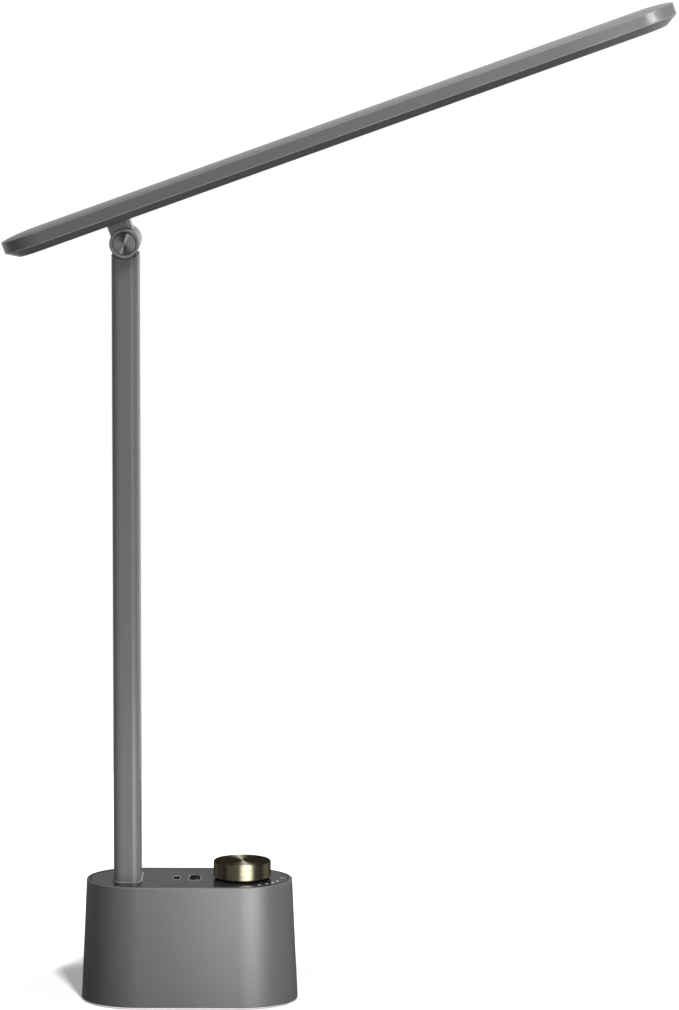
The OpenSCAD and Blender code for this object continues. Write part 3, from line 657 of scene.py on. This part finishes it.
sun = bmesh.new()
pad(sun, capsule_points(SUN_WIDE, SUN_WIDE, 8), SUN_AT, 0, SUN_RISE)
for i in range(RAY_COUNT):
    turn = 2 * math.pi * i / RAY_COUNT
    pad(sun, capsule_points(RAY_LONG, RAY_WIDE, 4),
        SUN_AT + Vector((math.cos(turn), math.sin(turn), 0)) * RAY_RING, turn, SUN_RISE)
sun_mark = piece("sun_mark", sun, mark_ink)
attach(sun_mark, "base")
print("sun:", len(sun_mark.data.polygons), "faces")

# %% [markdown]
# ## Frames round the ports, and their contacts
#
# Each port's opening has a thin light grey bead round it. Its light grey is a painted highlight:
# it stands for the lit edge of the opening. A bevel on the plate's edge would be black like the
# plate, so the bead is a piece of its own: a half-round section carried round a rectangle. Inside,
# the large port has four gold springs on its tongue, and the small one a row of pads on each face
# of its own. These are small blocks, set by the ports' own boxes.

# %% Beads round the ports
PORT_GAP, BEAD_WIDE, BEAD_RISE, BEAD_SINK = 0.0007, 0.0003, 0.00008, 0.0003
PORT_A_CORNER, SHORT_OF_ROUND = 0.0006, 0.00001


def frame_outline(x, y, r, steps=8):
    """A rectangle with round corners, as points."""
    points = []
    for sx, sy, start in ((1, 1, 0), (-1, 1, 90), (-1, -1, 180), (1, -1, 270)):
        for i in range(steps + 1):
            a = math.radians(start + 90 * i / steps)
            points.append((sx * (x / 2 - r) + r * math.cos(a), sy * (y / 2 - r) + r * math.sin(a)))
    return points


def bead(mesh, x, y, r, port):
    """A half-round bead that runs round a port's opening, sunk a little into the plate."""
    section = [(0.0, -BEAD_SINK), (0.0, BEAD_RISE * 0.5), (BEAD_WIDE * 0.3, BEAD_RISE),
               (BEAD_WIDE * 0.7, BEAD_RISE), (BEAD_WIDE, BEAD_RISE * 0.4), (BEAD_WIDE, -BEAD_SINK)]
    walls(mesh, [[mesh.verts.new(Vector((port.x + px, port.y + py, PLATE_TOP + z)))
                  for px, py in frame_outline(x + 2 * out, y + 2 * out, r + out)]
                 for out, z in section])


def port_opening(shell):
    low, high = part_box(shell)
    return high.x - low.x + PORT_GAP, high.y - low.y + PORT_GAP


beads = bmesh.new()
a_x, a_y = port_opening("usb_a_shell")
c_x, c_y = port_opening("usb_c_shell")
bead(beads, a_x, a_y, PORT_A_CORNER, PORT_A)
bead(beads, c_x, c_y, c_x / 2 - SHORT_OF_ROUND, PORT_C)
port_beads = piece("port_beads", beads, bead_highlight_grey)
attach(port_beads, "base")
print("beads:", len(port_beads.data.polygons), "faces")

# %% Gold contacts
SPRING, SPRING_PITCH, SPRING_DROP = (0.00016, 0.001, 0.0036), 0.0022, 0.0022
LEAF, LEAF_PITCH, LEAF_DROP = (0.00006, 0.00034, 0.0026), 0.0007, 0.0016
TONGUE_FACE_A, TONGUE_FACE_C = 0.00003, 0.00035     # from a port's middle to its tongue's face


def contact(mesh, x, y, z, size):
    """One flat contact, as a block."""
    bmesh.ops.create_cube(mesh, size=1.0, matrix=Matrix.Translation((x, y, z))
                          @ Matrix.Diagonal((*size, 1)))


gold = rolled("contact_gold", (0.78, 0.58, 0.26), 0.25, lines=0.0003)
strips = bmesh.new()
tongue_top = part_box("usb_a_tongue")[1].z
for i in range(4):
    contact(strips, PORT_A.x + TONGUE_FACE_A, (i - 1.5) * SPRING_PITCH,
            tongue_top - SPRING_DROP, SPRING)
tongue_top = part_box("usb_c_tongue")[1].z
for side in (-1, 1):
    for i in range(8):
        contact(strips, PORT_C.x + side * TONGUE_FACE_C, (i - 3.5) * LEAF_PITCH,
                tongue_top - LEAF_DROP, LEAF)
bmesh.ops.bevel(strips, geom=strips.edges[:], offset=0.00002, segments=1, affect="EDGES")
contacts = piece("port_contacts", strips, gold, smooth=False)
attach(contacts, "base")
print("contacts:", len(contacts.data.polygons), "faces")

# %% [markdown]
# ## The floor
#
# The lamp stands on a pale round sheet. A lit white floor would need so much light that the
# lamp itself washed out, so the sheet adds a little glow of its own, and only its soft shadow
# is left to see. Away from the base the glow rises, which fades the shadow out and melts the
# sheet into the white beyond it. To the lamp the sheet is greyer than to the camera, or its
# bounced light would wash out the head's underside.

# %% The floor's finish
NEAR_GLOW, FAR_GLOW = grey(0.26), grey(1.01)
GLOW_FROM, GLOW_TO = 0.095, 0.14                    # metres from the middle of the base
BOUNCED, MIRRORED = grey(0.50), grey(0.10)


def ray(tree, *kinds):
    """1 for the kinds of ray named, and 0 for the others."""
    path = tree.node("ShaderNodeLightPath", output=kinds[0])
    total = path
    for kind in kinds[1:]:
        total = total + path.output(kind)
    return tree.clip(total, 0.0, 1.0)


sheet_tone = Tree(bpy.data.materials.new("floor_sheet"))
sheet_tone.nodes.clear()
dull = sheet_tone.node("ShaderNodeBsdfDiffuse", {}, {
    "Color": sheet_tone.tint(ray(sheet_tone, "Is Glossy Ray"), BOUNCED, MIRRORED)})
pale = sheet_tone.node("ShaderNodeBsdfDiffuse", {}, {
    "Color": sheet_tone.tint(sheet_tone.noise(0.002), grey(0.84), grey(0.86))})
apart = sheet_tone.vector("LENGTH", sheet_tone.place(), output="Value")
glow = sheet_tone.node("ShaderNodeEmission", {}, {
    "Color": sheet_tone.tint(sheet_tone.clip(apart, GLOW_FROM, GLOW_TO), NEAR_GLOW, FAR_GLOW)})
lifted = sheet_tone.node("ShaderNodeAddShader", {}, {0: pale, 1: glow})
shown = sheet_tone.node("ShaderNodeMixShader", {}, {
    0: ray(sheet_tone, "Is Camera Ray", "Is Transmission Ray"), 1: dull, 2: lifted})
sheet_tone.node("ShaderNodeOutputMaterial", {}, {"Surface": shown})
print("floor finish:", sheet_tone.owner.name)

# %% The floor's sheet
# It has an opening where the base stands, so that the underside can still be looked at.
SHEET_R, SHEET_Y, FOOT_STEPS = 0.6, 0.1, 40

foot_low, foot_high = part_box("bottom_cover")
foot = capsule_points(foot_high.x - foot_low.x, foot_high.y - foot_low.y, FOOT_STEPS)
sheet = bmesh.new()
hole, brink = [], []
for i, (x, y) in enumerate(foot):
    end, step = divmod(i, FOOT_STEPS + 1)
    turn = math.pi * (step / FOOT_STEPS - 0.5 + end)
    hole.append(sheet.verts.new((x, y, 0.0)))
    brink.append(sheet.verts.new((SHEET_R * math.cos(turn), SHEET_Y + SHEET_R * math.sin(turn),
                                  0.0)))
walls(sheet, [brink, hole])
floor = piece("floor", sheet, sheet_tone.owner, smooth=False)
print("floor:", len(floor.data.polygons), "faces")

# %% [markdown]
# ## The studio round the lamp
#
# Real walls and cards would need meshes that other views could look past or bump into. The
# world can stand in for them: its colour depends on the direction, so each card is a mask of
# direction. The camera sees plain white. The lamp sees a dim room with three things in it. A
# low white wall runs behind it and round to its right, which puts a light edge on the post and
# brightens the head's far side. Above it the wall is grey, and the black plate mirrors a darker
# grey there. A card stands low at the front left, bright as a light and dim in reflections.

# %% The studio
ROOM, CARD_LIGHT, CARD_SHINE = grey(0.03), grey(2.6), grey(0.5)
WALL, UPPER_WALL, PLATE_SEES = grey(1.0), grey(0.5), grey(0.29)
CARD_DIRECTION = (-0.64, -0.77, 0.0)

world = Tree(bpy.data.worlds.new("studio"))
bpy.context.scene.world = world.owner
world.nodes.clear()
toward = world.node("ShaderNodeTexCoord", output="Generated")
side = world.axis("X", toward)
back, height = side.output("Y"), side.output("Z")
behind = world.clip(back + side * 0.2, 0.15, 0.5)
low = world.clip(height, 0.17, 0.09)
card = low * world.clip(world.vector("DOT_PRODUCT", toward, CARD_DIRECTION, "Value"), 0.86, 0.97)
shine = ray(world, "Is Glossy Ray")
mirrored = world.clip(back, 0.82, 0.92) * world.clip(height, 0.5, 0.3)
upper = behind * world.clip(height, 0.85, 0.5)
room = world.tint(card, ROOM, world.tint(shine, CARD_LIGHT, CARD_SHINE))
room = world.tint(shine * mirrored, room, PLATE_SEES)
room = world.tint((1 - shine) * upper, room, UPPER_WALL)
room = world.tint(low * behind, room, WALL)
lit = world.node("ShaderNodeBackground", {}, {"Color": room, "Strength": 1.0})
white = world.node("ShaderNodeBackground", {}, {"Color": grey(1.0), "Strength": 1.0})
seen = world.node("ShaderNodeMixShader", {}, {
    0: ray(world, "Is Camera Ray", "Is Transmission Ray"), 1: lit, 2: white})
world.node("ShaderNodeOutputWorld", {}, {"Surface": seen})
print("studio:", len(world.nodes), "nodes")

# %% [markdown]
# ## Lamps
#
# Soft boxes are area lights: the larger and nearer they are, the softer their edge. A tall
# narrow one stands close to the lamp, a little to the right of the camera, and draws the
# upright highlight on the post and the knob. A small one stands nearer still, low in front of
# the base: being so near, it makes the base's front brighten toward the right. One high up
# lights the crown of the head. A large one far behind keeps the lamp's back readable. It
# lights but isn't mirrored, or the knob's top would turn white. A weak one with a very narrow
# spread puts a small light patch on the head's tip.
#
# The shadow beside the base is short and soft, and none of these would drop it there. A sixth
# lamp does. Light linking makes it light only the floor, and makes the other five leave the
# floor out, so the lamp's own light stays as it is.

# %% Soft boxes
def soft_box(name, place, aim, size, watts):
    """An area light of a width and height, aimed at a point and hidden from the camera."""
    data = bpy.data.lights.new(name, "AREA")
    data.shape = "RECTANGLE"
    data.size, data.size_y = size
    data.energy = watts
    lamp = bpy.data.objects.new(name, data)
    bpy.context.scene.collection.objects.link(lamp)
    lamp.location = place
    lamp.rotation_euler = (Vector(aim) - Vector(place)).to_track_quat("-Z", "Y").to_euler()
    lamp.visible_camera = False
    return lamp


def around(azimuth, distance, height):
    """A point at an angle to the right of the front, as seen from above."""
    turn = math.radians(azimuth)
    return (distance * math.sin(turn), -distance * math.cos(turn), height)


key = soft_box("key_box", around(24, 0.65, 0.42), (-0.25, 0.0, 0.42), (0.22, 0.85), 1.8)
near = soft_box("near_box", around(27, 0.19, 0.065), (0.03, 0.0, 0.045), (0.15, 0.16), 0.36)
high = soft_box("high_box", (0.25, -0.22, 1.22), (0.0, 0.0, 0.0), (0.30, 0.30), 17.0)
rear = soft_box("rear_box", (0.35, 1.5, 1.35), (0.0, 0.0, 0.2), (1.0, 1.0), 26.0)
rear.visible_glossy = False
tip = soft_box("tip_box", (0.67, -0.44, 0.67), (0.270, -0.02, 0.562), (0.06, 0.12), 0.02)
tip.data.spread = math.radians(5)
shadow = soft_box("shadow_box", (0.23, -0.945, 1.0), (-0.02, 0.0, 0.03), (0.12, 0.12), 21.0)
print("soft boxes:", [lamp.name for lamp in (key, near, high, rear, tip, shadow)])

# %% Who lights the floor
def link_floor(name, state, lamps):
    """Makes lamps light nothing but the floor (INCLUDE), or all but the floor (EXCLUDE)."""
    receivers = bpy.data.collections.new(name)
    receivers.objects.link(floor)
    receivers.collection_objects[0].light_linking.link_state = state
    for lamp in lamps:
        lamp.light_linking.receiver_collection = receivers


link_floor("floor_alone", "INCLUDE", (shadow,))
link_floor("all_but_the_floor", "EXCLUDE", (key, near, high, rear, tip))
print("the floor is lit by", shadow.name)

# %% [markdown]
# ## Camera
#
# A long lens from nearly three metres keeps the lamp's uprights parallel, as a short one from
# nearby wouldn't. It looks down by less than eight degrees, just enough to show the top of the
# base.

# %% Camera
CAMERA_AT = (0.0967, -2.9306, 0.68305)
LOOKS_DOWN, ROLLS, TURNS = 7.718, -0.1, 0.23        # degrees

view = bpy.data.cameras.new("view")
view.sensor_width = 36.0
view.lens = 185.6
view.clip_end = 100.0
camera = bpy.data.objects.new("view", view)
bpy.context.scene.collection.objects.link(camera)
camera.location = CAMERA_AT
camera.rotation_euler = [math.radians(angle) for angle in (90 - LOOKS_DOWN, ROLLS, TURNS)]
bpy.context.scene.camera = camera
bpy.context.scene.view_settings.view_transform = "Standard"
print("camera:", round((camera.location - HINGE).length, 2), "m from the hinge")
